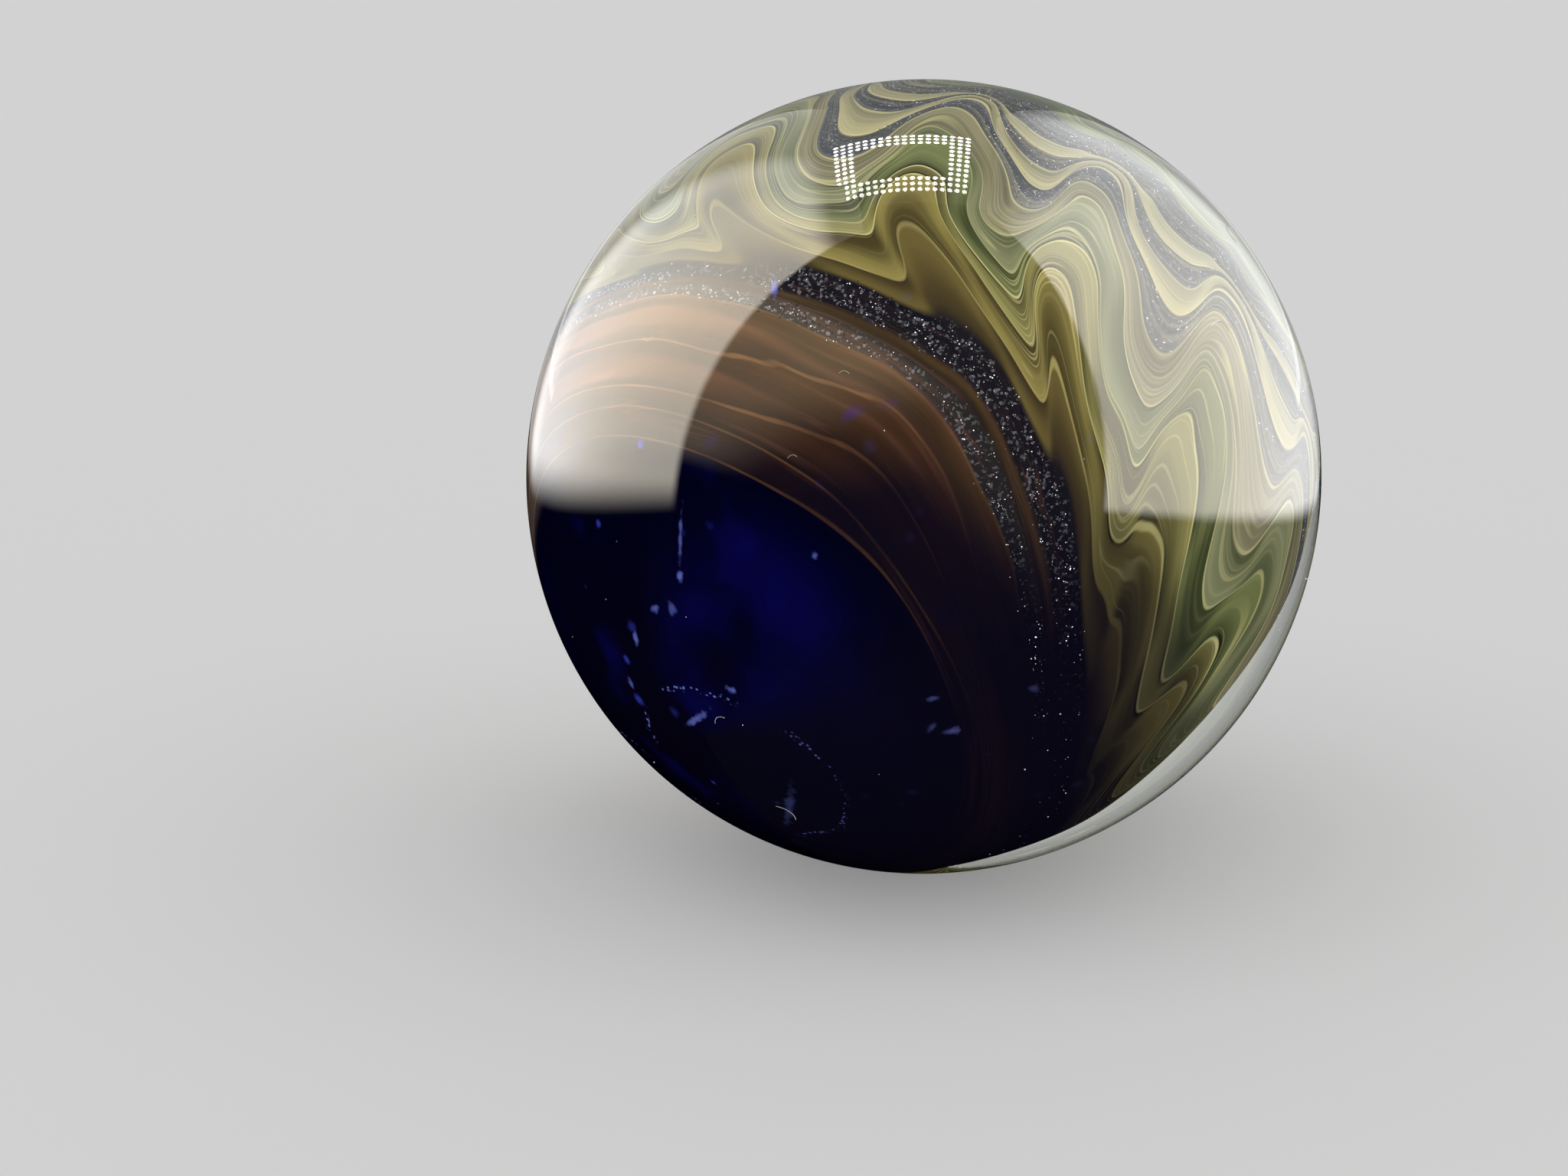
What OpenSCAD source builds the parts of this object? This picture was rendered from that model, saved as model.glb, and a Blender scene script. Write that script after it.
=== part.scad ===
// Cased glass marble: raked canes of coloured glass under a thick clear casing.
// Casing and core are fused on the real ball. A hairline seam between them keeps
// each as a solid of its own, within one piece.
// Origin at the centre of the ball, +Z up, -Y to the front. Lengths in mm, angles
// in degrees. A turn runs from the front to the right, and a tilt runs up.

/* [Ball] */
// Diameter of the finished marble
ball_d = 50.8; // [44:0.1:80]
// Clear glass between the coloured core and the surface
casing_wall = 5.1; // [3:0.1:8]
// Hairline between the casing and the core
seam = 0.1; // [0.05:0.01:0.3]

/* [Shallow side of the core] */
// Clear glass over the middle of the shallow side
shallow_wall = 10.9; // [9:0.1:12]
// Clear glass over the flanks of the shallow side
flank_wall = 9.6; // [9:0.1:12]
// Turn of the shallow side
shallow_turn = 117; // [0:1:180]
// Tilt of the shallow side
shallow_tilt = -42; // [-80:1:0]
// Angle from the middle of the shallow side to each flank
flank_spread = 19; // [10:1:30]

/* [Swirl] */
// Turn of the pole of the swirl, within the cobalt
pole_turn = -42; // [-180:1:180]
// Tilt of the pole of the swirl
pole_tilt = -34; // [-80:1:80]
// Reach of the cobalt cap from its own middle
cobalt_reach = 39; // [30:1:45]
// Folds raked round the core
rakes = 12; // [6:1:16]
// How far a rake drags the canes along the core
rake_pull = 9.5; // [0:0.1:10]
// How fast the folds twist on their way to the pole
twist = 0.056; // [0:0.001:0.08]
// How far the canes sag toward the pole on the right
sag = 24; // [0:1:28]
// Depth of a cane in the core
cane_t = 0.9; // [0.5:0.1:2]
// Skin of the core over a cane
cane_cover = 0.05; // [0.02:0.01:0.1]

/* [Hidden] */
$fn = 96;

ball_r = ball_d / 2;
core_r = ball_r - casing_wall;
seam_turn = 14;
twist_from = 103;
cobalt_lean = 9;
cobalt_turn = -80;
steps = 9 * rakes;

// Canes of drawn glass: where each starts and ends, in degrees from the pole and
// before the raking, the rows of facets across it, and its colour
canes = [
    [49, 54, 1, [0.22, 0.13, 0.12]],       // dark veil
    [57, 68, 2, [0.32, 0.20, 0.13]],       // brown veil
    [70.6, 74, 1, [0.20, 0.18, 0.17]],     // brown glitter
    [76, 82, 1, [0.12, 0.11, 0.15]],       // night glitter
    [98.6, 106, 2, [0.40, 0.45, 0.26]],    // leaf green
    [107, 113.5, 1, [0.60, 0.56, 0.40]],   // tan
    [114, 118, 1, [0.35, 0.36, 0.39]],     // grey glitter
    [118.6, 122.6, 1, [0.74, 0.70, 0.54]], // cream
    [123, 127.6, 1, [0.29, 0.31, 0.35]],   // blue glitter
    [128, 131, 1, [0.70, 0.66, 0.50]],     // ivory
    [131.4, 137.5, 1, [0.24, 0.26, 0.30]], // slate glitter
];

// ---- sums
// Eases from 0 to 1 between a and b
function ease(x, a, b) = let (t = min(max((x - a) / (b - a), 0), 1)) t * t * (3 - 2 * t);

function toward(turn, tilt) =
    [sin(turn) * cos(tilt), -cos(turn) * cos(tilt), sin(tilt)];

function unit(v) = v / norm(v);

pole = toward(pole_turn, pole_tilt);
pole_up = unit([0, 0, 1] - pole.z * pole);
pole_side = cross(pole_up, pole);

// A direction from its lean off the pole and its turn round the pole
function on_core(lean, turn) =
    let (a = turn - seam_turn)
    cos(lean) * pole + sin(lean) * (cos(a) * pole_up + sin(a) * pole_side);

// 1 on the left, where the dark canes run thin
function left(turn) = (1 - ease(turn, -15, 50)) * ease(turn, -160, -60);

// 1 on the right, where the canes sag
function low(turn) =
    ease(turn, 45, 140) + 1 - ease(turn, seam_turn - 180, seam_turn - 40);

// The lean that glass had before the sag, from the lean where it lies now
function before_sag(lean, turn) =
    let (thin = lean + 8 * left(turn) * ease(lean, 69, 78) * (1 - ease(lean, 84, 114)))
    thin + sag * low(turn) * (1 - ease(thin, 60, 132)) * ease(thin, 30, 60);

// The turn after the twist
function twisted(turn, lean) =
    let (a = turn + twist * pow(max(twist_from - lean, 0), 2) - 5 * ease(lean, 100, 130))
    a > seam_turn + 180 ? a - 360 : a < seam_turn - 180 ? a + 360 : a;

// How strongly the rake drags at a place
function drag(lean, turn) =
    ease(lean, 77, 103) * (1 - 0.35 * ease(lean, 101, 118)) * (1 - ease(lean, 122, 160))
    * (1 - 0.55 * ease(turn, 75, 115) * (1 - ease(turn, 140, 190)));

// Crests and valleys of the folds round the core, some deeper than others
function fold(turn) =
    let (p = turn * rakes + 86 + 29 * sin(2 * turn + 57) + 26 * sin(5 * turn + 126),
         w = sin(p + 17 * sin(p)))
    w * (1.3 - 0.3 * w * w) * (1 + 0.24 * sin(3 * turn + 23) + 0.22 * sin(5 * turn + 74));

// The lean that glass had before the rake, from the lean to which it was dragged
function before_rake(lean, turn) =
    lean - rake_pull * fold(turn) * drag(lean, twisted(turn, lean));

// Where drawn glass comes to lie after the rake and after the sag, by halving
function after_rake(drawn, turn, low, high, tries = 12) =
    let (middle = (low + high) / 2)
    tries == 0 ? middle
    : before_rake(middle, turn) < drawn ? after_rake(drawn, turn, middle, high, tries - 1)
    : after_rake(drawn, turn, low, middle, tries - 1);

function after_sag(raked, turn, low, high, tries = 12) =
    let (middle = (low + high) / 2)
    tries == 0 ? middle
    : before_sag(middle, turn) < raked ? after_sag(raked, turn, middle, high, tries - 1)
    : after_sag(raked, turn, low, middle, tries - 1);

// Direction in which a point of a drawn cane lies on the finished core
function place(drawn, turn) =
    let (raked = after_rake(drawn, turn, drawn - 16, drawn + 16),
         round = twisted(turn, raked))
    on_core(after_sag(raked, round, raked - 40, raked + 2), round);

// The flats of the shallow side: the direction of each, and the clear glass over it
flats = [
    [toward(shallow_turn, shallow_tilt), shallow_wall],
    [toward(shallow_turn, shallow_tilt + flank_spread), flank_wall],
    [toward(shallow_turn + flank_spread / 2, shallow_tilt - flank_spread), flank_wall],
];

// How far the core reaches in a direction
function core_reach(v) =
    min([core_r, for (f = flats) (ball_r - f[1]) / max(v * f[0], 0.1)]);

// ---- solids
// Turns +Z to a direction
module facing(v) {
    rotate([0, acos(v.z), atan2(v.y, v.x)])
        children();
}

// The form of the core, or of the space for it when it is grown by the seam, or of
// what lies under its skin when it is shrunk
module core_form(grown = 0) {
    difference() {
        sphere(r = core_r + grown);
        for (f = flats)
            facing(f[0])
                translate([-ball_r, -ball_r, ball_r - f[1] + grown])
                    cube(ball_d);
    }
}

module casing() {
    color("honeydew", 0.25)
        difference() {
            sphere(d = ball_d);
            core_form(seam);
        }
}

// Olive glass, drawn half clear so that what lies under its skin shows
module core() {
    color([0.42, 0.39, 0.24], 0.5)
        core_form();
}

// The cobalt side: a cap of the core that runs in under the first veil
module cobalt_cap() {
    color([0.02, 0.02, 0.2])
        intersection() {
            core_form(-2 * cane_cover);
            facing(on_core(cobalt_lean, cobalt_turn))
                translate([-core_r, -core_r, core_r * cos(cobalt_reach)])
                    cube(2 * core_r);
        }
}

// A cane, as a closed ring with rows of facets on its skin and a keel in the core
module cane(start, end, rows) {
    skin = [for (i = [0 : steps - 1], j = [0 : rows])
        let (v = place(start + (end - start) * j / rows, i * 360 / steps))
        v * (core_reach(v) - cane_cover)];
    keel = [for (i = [0 : steps - 1])
        let (v = place((start + end) / 2, i * 360 / steps))
        v * (core_reach(v) - cane_t)];
    across = rows + 1;
    first = steps * across;
    polyhedron(
        points = concat(skin, keel),
        faces = [for (i = [0 : steps - 1])
            let (n = (i + 1) % steps, a = i * across, b = n * across)
            each concat(
                [for (j = [0 : rows - 1])
                    each [[a + j, b + j, b + j + 1], [a + j, b + j + 1, a + j + 1]]],
                [[first + i, first + n, b], [first + i, b, a],
                 [a + rows, b + rows, first + n], [a + rows, first + n, first + i]])]);
}

module marble() {
    cobalt_cap();
    for (c = canes)
        color(c[3])
            cane(c[0], c[1], c[2]);
    core();
    casing();
}

marble();
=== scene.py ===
"""Looks of a swirled glass marble: clear casing, raked colours, glitter and seeds."""

import math

import bpy
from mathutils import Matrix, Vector


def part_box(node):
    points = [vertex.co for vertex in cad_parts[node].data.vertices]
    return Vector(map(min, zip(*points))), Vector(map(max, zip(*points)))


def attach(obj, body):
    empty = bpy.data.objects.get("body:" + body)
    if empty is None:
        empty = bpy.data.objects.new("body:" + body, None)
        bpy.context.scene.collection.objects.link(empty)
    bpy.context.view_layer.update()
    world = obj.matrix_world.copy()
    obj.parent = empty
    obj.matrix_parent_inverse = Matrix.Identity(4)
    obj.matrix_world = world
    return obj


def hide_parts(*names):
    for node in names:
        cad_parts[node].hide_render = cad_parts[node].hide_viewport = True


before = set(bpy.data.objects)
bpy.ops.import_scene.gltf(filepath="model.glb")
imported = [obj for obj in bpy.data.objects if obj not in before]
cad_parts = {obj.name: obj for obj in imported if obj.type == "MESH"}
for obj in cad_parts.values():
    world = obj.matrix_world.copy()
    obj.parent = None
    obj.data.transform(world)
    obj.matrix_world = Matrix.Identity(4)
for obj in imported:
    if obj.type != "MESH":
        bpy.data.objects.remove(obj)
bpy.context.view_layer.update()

# ---------------------------------------------------------------- sizes, in metres
MM = 0.001
BALL_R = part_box("marble")[1].z
CASING_WALL = 5.1 * MM
CORE_R = BALL_R - CASING_WALL

# Pole of the swirl, in degrees: the middle of the cobalt side, low at the front left
HALF_TURN = 180.0
UP = Vector((0.0, 0.0, 1.0))
POLE_TURN = -42.0
POLE_TILT = -34.0
SEAM_TURN = 14.0

# The raking of the hot glass, in degrees on the core
RAKES = 12
RAKE_PHASE = 1.5
RAKE_PULL = 9.5
FINE_RAKES = 21
FINE_PULL = 1.2
BELT_SQUEEZE = 8.0
SHEAR, SHEAR_FROM = 0.056, 103.0
SAG = 24.0

# The view in pixels, and where the camera stands and how far it looks down, in degrees
IMAGE_W, IMAGE_H = 2048, 1536
FOCAL_PX = 3000.0
BALL_AT_PX = (1201.4, 626.5)
BALL_DISTANCE = 5.889 * BALL_R
CAMERA_PITCH = -14.7


def from_degrees(turn, tilt):
    """A unit vector, turned from the front (-Y) to the right and tilted up."""
    t, e = math.radians(turn), math.radians(tilt)
    return Vector((math.sin(t) * math.cos(e), -math.cos(t) * math.cos(e), math.sin(e)))


POLE = from_degrees(POLE_TURN, POLE_TILT)
POLE_UP = (UP - UP.dot(POLE) * POLE).normalized()
POLE_SIDE = POLE_UP.cross(POLE)


# ---------------------------------------------------------------- sums in node trees
class Wire:
    """A number on its way through a node tree, so that a sum reads as a sum."""

    def __init__(self, tree, socket):
        self.tree, self.socket = tree, socket

    def __add__(self, other):
        return calc("ADD", self, other)

    def __sub__(self, other):
        return calc("SUBTRACT", self, other)

    def __mul__(self, other):
        return calc("MULTIPLY", self, other)

    def __truediv__(self, other):
        return calc("DIVIDE", self, other)

    def __rtruediv__(self, other):
        return calc("DIVIDE", other, self)

    def __rsub__(self, other):
        return calc("MULTIPLY_ADD", self, -1.0, other)

    __radd__ = __add__
    __rmul__ = __mul__


def plug(tree, value, socket):
    """Puts a wire, a socket or a plain value into an input."""
    if isinstance(value, Wire):
        tree.links.new(value.socket, socket)
    elif isinstance(value, bpy.types.NodeSocket):
        tree.links.new(value, socket)
    else:
        socket.default_value = value


def calc(kind, *values):
    tree = next(v.tree for v in values if isinstance(v, Wire))
    node = tree.nodes.new("ShaderNodeMath")
    node.operation = kind
    for value, socket in zip(values, node.inputs):
        plug(tree, value, socket)
    return Wire(tree, node.outputs[0])


def sine(wire):
    return calc("SINE", wire)


def rise(wire, low, high):
    """0 below low, 1 above high and a smooth step between."""
    tree = wire.tree if isinstance(wire, Wire) else wire.id_data
    node = tree.nodes.new("ShaderNodeMapRange")
    node.interpolation_type = "SMOOTHSTEP"
    for value, socket in zip((wire, low, high), node.inputs):
        plug(tree, value, socket)
    return Wire(tree, node.outputs[0])


def vector_sum(tree, kind, first, second=None, scale=None):
    """One step of vector arithmetic; a dot product or a length comes back as a number."""
    node = tree.nodes.new("ShaderNodeVectorMath")
    node.operation = kind
    plug(tree, first, node.inputs[0])
    if second is not None:
        plug(tree, second, node.inputs[1])
    if scale is not None:
        plug(tree, scale, node.inputs["Scale"])
    return node.outputs["Value" if kind in ("DOT_PRODUCT", "LENGTH") else "Vector"]


def unit(tree, vector):
    return vector_sum(tree, "NORMALIZE", vector)


def along(tree, vector, direction):
    """How far a vector reaches along a direction."""
    return Wire(tree, vector_sum(tree, "DOT_PRODUCT", vector, direction))


def apart(tree, place, other):
    """How far one place is from another."""
    off = vector_sum(tree, "SUBTRACT", place, other)
    return Wire(tree, vector_sum(tree, "LENGTH", off))


def join(tree, x, y, z):
    node = tree.nodes.new("ShaderNodeCombineXYZ")
    for value, socket in zip((x, y, z), node.inputs):
        plug(tree, value, socket)
    return node.outputs[0]


def split(tree, vector):
    node = tree.nodes.new("ShaderNodeSeparateXYZ")
    plug(tree, vector, node.inputs[0])
    return [Wire(tree, part) for part in node.outputs]


def cloud(tree, vector, scale, detail=1.0, place=0.0):
    """Soft noise from about -1 to 1."""
    moved = vector_sum(tree, "ADD", vector, (place, place, place))
    node = tree.nodes.new("ShaderNodeTexNoise")
    plug(tree, moved, node.inputs["Vector"])
    node.inputs["Scale"].default_value = scale
    node.inputs["Detail"].default_value = detail
    return (Wire(tree, node.outputs[0]) - 0.5) * 2.0


def cells(tree, vector, per_metre):
    """Voronoi cells: how far off the nearest middle is, and its three random numbers."""
    node = tree.nodes.new("ShaderNodeTexVoronoi")
    plug(tree, vector, node.inputs["Vector"])
    plug(tree, per_metre, node.inputs["Scale"])
    luck = tree.nodes.new("ShaderNodeSeparateColor")
    plug(tree, node.outputs["Color"], luck.inputs[0])
    return Wire(tree, node.outputs["Distance"]), [Wire(tree, part) for part in luck.outputs]


def seen_through(tree):
    """1 where the way to a thing has led through the marble, else 0."""
    path = tree.nodes.new("ShaderNodeLightPath")
    return rise(Wire(tree, path.outputs["Transmission Depth"]), 0.2, 0.8)


def new_group(name, kind, inputs, outputs):
    """A node group of either kind, with its named sockets."""
    tree = bpy.data.node_groups.new(name, kind)
    for direction, sockets in (("INPUT", inputs), ("OUTPUT", outputs)):
        for label, form, *default in sockets:
            socket = tree.interface.new_socket(label, in_out=direction, socket_type=form)
            if default:
                socket.default_value = default[0]
    return tree, tree.nodes.new("NodeGroupInput"), tree.nodes.new("NodeGroupOutput")


def use_group(tree, group, **values):
    kind = "ShaderNodeGroup" if tree.bl_idname == "ShaderNodeTree" else "GeometryNodeGroup"
    node = tree.nodes.new(kind)
    node.node_tree = group
    for label, value in values.items():
        plug(tree, value, node.inputs[label.replace("_", " ")])
    return node


NUMBER, COLOUR, VECTOR = "NodeSocketFloat", "NodeSocketColor", "NodeSocketVector"


# ---------------------------------------------------------------- the raked swirl
def make_swirl(kind):
    """Where a point of the core lay before the hot glass was raked and twisted.

    Lean is its angle from the pole and Turn its angle round it. Rake is 1 on a
    crest and -1 in a valley, and Drawn is the same place as a vector, for grain.
    """
    tree, given, result = new_group(
        "raked_swirl_" + ("shade" if kind == "ShaderNodeTree" else "shape"), kind,
        [("Place", VECTOR), ("Rakes", NUMBER, RAKES), ("Pull", NUMBER, RAKE_PULL),
         ("Shear", NUMBER, SHEAR), ("Sag", NUMBER, SAG)],
        [("Lean", NUMBER), ("Turn", NUMBER), ("Rake", NUMBER), ("Drawn", VECTOR),
         ("Seen Lean", NUMBER), ("Seen Turn", NUMBER)])
    place = unit(tree, given.outputs["Place"])
    to_degrees = HALF_TURN / math.pi
    lean = calc("ARCCOSINE", along(tree, place, POLE)) * to_degrees
    turn = calc("ARCTAN2", along(tree, place, POLE_SIDE), along(tree, place, POLE_UP))
    turn = turn * to_degrees + SEAM_TURN
    seen_lean, seen_turn = lean, turn

    # The glitter belts run thin on the left, so the olive folds start sooner there
    left = (1.0 - rise(turn, -15.0, 50.0)) * rise(turn, -160.0, -60.0) * BELT_SQUEEZE
    lean = lean + left * rise(lean, 69.0, 78.0) * (1.0 - rise(lean, 84.0, 114.0))

    turn = turn + cloud(tree, place, 1.6, 1.0, 5.0) * 7.0 * rise(lean, 50.0, 80.0)
    lean = lean + cloud(tree, place, 1.6, 1.0, 31.0) * 3.0 * rise(lean, 48.0, 75.0)
    lean = lean + cloud(tree, place, 1.5, 2.0, 71.0) * 15.0 * rise(lean, 118.0, 150.0)

    # The right-hand side runs down toward the pole, and the back brings it home
    back = SEAM_TURN - HALF_TURN
    low = rise(seen_turn, 45.0, 140.0) + 1.0 - rise(seen_turn, back, back + 140.0)
    sag = low * (1.0 - rise(lean, 60.0, 132.0)) * rise(lean, 30.0, 60.0) * given.outputs["Sag"]
    lean = lean + sag

    # The twist grows toward the pole, so that the folds lean over like breaking waves
    over = calc("MAXIMUM", SHEAR_FROM - lean, 0.0)
    turn = turn - over * over * given.outputs["Shear"] + rise(lean, 100.0, 130.0) * 5.0
    angle = turn / to_degrees

    # The folds are unevenly spaced and of uneven height, and calmer on the right
    phase = angle * given.outputs["Rakes"] + RAKE_PHASE
    phase = phase + sine(angle * 2.0 + 1.0) * 0.5 + sine(angle * 5.0 + 2.2) * 0.45
    rake = sine(phase + sine(phase) * 0.3)
    rake = rake * (1.3 - rake * rake * 0.3)
    uneven = sine(angle * 3.0 + 0.4) * 0.24 + sine(angle * 5.0 + 1.3) * 0.22 + 1.0
    reach = rise(lean, 77.0, 103.0) * (1.0 - rise(lean, 101.0, 118.0) * 0.35)
    reach = reach * (1.0 - rise(lean, 122.0, 160.0))
    calm = rise(seen_turn, 75.0, 115.0) * (1.0 - rise(seen_turn, 140.0, 190.0))
    reach = reach * (1.0 - calm * 0.55)
    lean = lean - rake * uneven * reach * given.outputs["Pull"]

    # A finer rake runs over the first folds, a little behind the twist
    late = (turn + (1.0 - rise(lean, 70.0, 100.0)) * 16.0) / to_degrees
    fine = sine(late * FINE_RAKES + sine(late * 4.0 + 0.7) * 1.9)
    fine = fine * rise(lean, 80.0, 90.0) * (1.0 - rise(lean, 100.0, 110.0))
    lean = lean - fine * (1.0 - calm * 0.85) * FINE_PULL

    # Three pale canes gather thick in the valleys and run thin over the crests
    for middle, width, gather in ((109.5, 6.0, 1.3), (120.5, 7.0, 2.0), (129.0, 6.0, 1.8)):
        off = lean - middle
        near = calc("EXPONENT", off * off * (-1.0 / width ** 2))
        lean = off * (near * (rake + 1.0) * (0.5 * gather) + 1.0) + middle

    tilt, round_ = lean / to_degrees, turn / to_degrees
    ring = calc("SINE", tilt)
    drawn = join(tree, ring * calc("COSINE", round_), ring * sine(round_), calc("COSINE", tilt))
    lean = lean + cloud(tree, drawn, 3.2, 1.0, 3.0) * 1.1 * rise(lean, 44.0, 70.0)

    for label, value in (("Lean", lean), ("Turn", turn), ("Rake", rake), ("Drawn", drawn),
                         ("Seen Lean", seen_lean), ("Seen Turn", seen_turn)):
        plug(tree, value, result.inputs[label])
    return tree


# ---------------------------------------------------------------- the colours
def paint(red, green, blue):
    """A colour given as it is seen, 0 to 255, as Blender's own linear values."""
    linear = [c / 255 / 12.92 if c < 10.3 else ((c / 255 + 0.055) / 1.055) ** 2.4
              for c in (red, green, blue)]
    return (*linear, 1.0)


# Each cane of glass: where it starts in degrees from the pole, its colour in painted
# shade and in painted light, the colour of the painted highlight on the thin lip where it
# meets the last one (or None), and how far that edge strays from its neighbours, in degrees
CANES = [
    ("cobalt", 0.0, (2, 2, 26), (6, 4, 22), None, 0.0),
    ("first veil", 48.5, (34, 21, 26), (24, 15, 24), (84, 58, 42), 1.2),
    ("second veil", 52.8, (58, 37, 28), (30, 21, 25), (92, 64, 42), 1.5),
    ("third veil", 57.2, (80, 52, 39), (46, 31, 28), (104, 72, 50), 1.7),
    ("fourth veil", 60.6, (68, 45, 31), (54, 37, 28), None, 1.4),
    ("fifth veil", 64.4, (94, 66, 46), (58, 42, 34), (112, 80, 54), 1.6),
    ("sixth veil", 68.0, (76, 54, 36), (60, 46, 33), None, 0.8),
    ("brown glitter", 70.6, (50, 45, 44), (46, 42, 44), (100, 76, 50), 0.0),
    ("amber", 74.2, (84, 64, 39), (42, 35, 31), None, 0.0),
    ("night glitter", 76.0, (24, 22, 32), (34, 31, 36), None, 0.0),
    ("bronze", 81.4, (66, 55, 37), (112, 98, 56), None, 0.0),
    ("dark fold", 85.2, (76, 66, 39), (150, 137, 78), (170, 156, 98), 0.7),
    ("olive fold", 91.6, (92, 87, 52), (152, 145, 90), (214, 204, 140), 1.6),
    ("bottle green", 97.4, (66, 73, 46), (120, 126, 80), (212, 205, 146), 1.8),
    ("sage", 101.2, (96, 102, 72), (142, 144, 108), (190, 186, 132), 1.4),
    ("pale tan", 107.4, (112, 108, 84), (146, 140, 110), (212, 204, 152), 1.5),
    ("grey glitter", 114.0, (72, 76, 84), (88, 90, 98), (206, 198, 148), 0.0),
    ("cream", 118.6, (142, 137, 110), (194, 185, 141), (216, 207, 158), 0.0),
    ("blue glitter", 123.0, (56, 60, 70), (72, 76, 86), (206, 197, 150), 0.0),
    ("ivory", 128.0, (146, 142, 112), (190, 181, 139), (214, 206, 160), 0.0),
    ("slate glitter", 131.0, (50, 54, 64), (62, 66, 78), (202, 193, 150), 0.0),
    ("moss", 137.5, (86, 98, 76), (118, 134, 90), None, 0.0),
    ("teal", 144.0, (62, 76, 60), (88, 98, 72), (186, 180, 122), 1.2),
    ("late olive", 152.0, (92, 98, 66), (128, 126, 84), None, 1.2),
    ("late green", 159.0, (84, 96, 62), (112, 118, 76), (168, 160, 106), 1.0),
    ("far cream", 166.0, (132, 128, 92), (158, 152, 112), None, 0.0),
    ("far green", 171.0, (80, 92, 62), (98, 106, 70), (186, 178, 130), 0.0),
]
LAST_LEAN = 180.0
VEILS_END = 70.0
# How wide and strong the painted highlight on a lip and the painted shadow line beside it are, and
# how soft an edge is without a lip and with one
LIP_WIDTH, SHADOW_LINE_WIDTH = 0.3, 0.34
LIP_STRENGTH, SHADOW_LINE_STRENGTH = 0.9, 0.85
SOFT_EDGE, CRISP_EDGE = 0.6, 0.15
# The canes that get a painted shadow line beside their lip
SHADOW_LINED_CANES = ("olive fold", "bottle green", "pale tan", "cream")


def blend_colours(tree, amount, under, over):
    node = tree.nodes.new("ShaderNodeMix")
    node.data_type = "RGBA"
    plug(tree, amount, node.inputs["Factor"])
    for value, label in ((under, "A"), (over, "B")):
        socket = next(s for s in node.inputs if s.name == label and s.type == "RGBA")
        plug(tree, value, socket)
    return next(s for s in node.outputs if s.type == "RGBA")


def make_cane():
    """One band of drawn glass, laid over what lies under it.

    On a crest the last band overlaps this one and painted shade darkens its start, and
    in a valley this one overlaps and painted shade darkens its far side. A pale lip, a
    painted highlight, runs along its start, and where Grain is high a painted shadow line
    runs beside the lip.
    """
    tree, given, result = new_group(
        "cane_of_glass", "ShaderNodeTree",
        [("Under", COLOUR), ("Lean", NUMBER), ("Start", NUMBER), ("End", NUMBER),
         ("Shaded", COLOUR), ("Lit", COLOUR), ("Lip", COLOUR), ("Lip Strength", NUMBER, 1.0),
         ("Crack", NUMBER, 0.0), ("Grain", NUMBER, 0.0), ("Crest", NUMBER, 0.5)],
        [("Colour", COLOUR)])
    sockets = given.outputs
    crest, grain = Wire(tree, sockets["Crest"]), Wire(tree, sockets["Grain"])
    off = Wire(tree, sockets["Lean"]) - sockets["Start"]
    depth = rise(off / (Wire(tree, sockets["End"]) - sockets["Start"]), 0.0, 1.0)
    # Painted shade and light: the body runs between its shaded and its lit colour, shaded where the
    # neighbouring band overlaps it
    tone = depth * (crest * 2.0 - 1.0) + 1.0 - crest
    body = blend_colours(tree, tone, sockets["Shaded"], sockets["Lit"])
    soft = SOFT_EDGE - Wire(tree, sockets["Lip Strength"]) * (SOFT_EDGE - CRISP_EDGE)
    inside = rise(off, soft * -1.0, soft)
    laid = blend_colours(tree, inside, sockets["Under"], body)
    # A painted shadow line beside the lip, on the side that lies under the overlap
    beside = calc("ABSOLUTE", off - (crest * 2.0 - 1.0) * (LIP_WIDTH * 1.5))
    shadow_line = (1.0 - rise(beside, 0.05, SHADOW_LINE_WIDTH)) * rise(grain, -0.15, 0.2) * sockets["Crack"]
    laid = blend_colours(tree, shadow_line, laid, paint(24, 24, 16))
    # The lip is a painted highlight along the band's edge
    lip = 1.0 - rise(calc("ABSOLUTE", off), LIP_WIDTH * 0.3, LIP_WIDTH)
    lip = lip * (rise(grain, -0.4, 0.3) * 0.6 + 0.4) * sockets["Lip Strength"]
    plug(tree, blend_colours(tree, lip, laid, sockets["Lip"]), result.inputs["Colour"])
    return tree


# How fast a thread changes along its way; a low number makes long, calm threads
THREAD_SPREAD = 1.3


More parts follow.
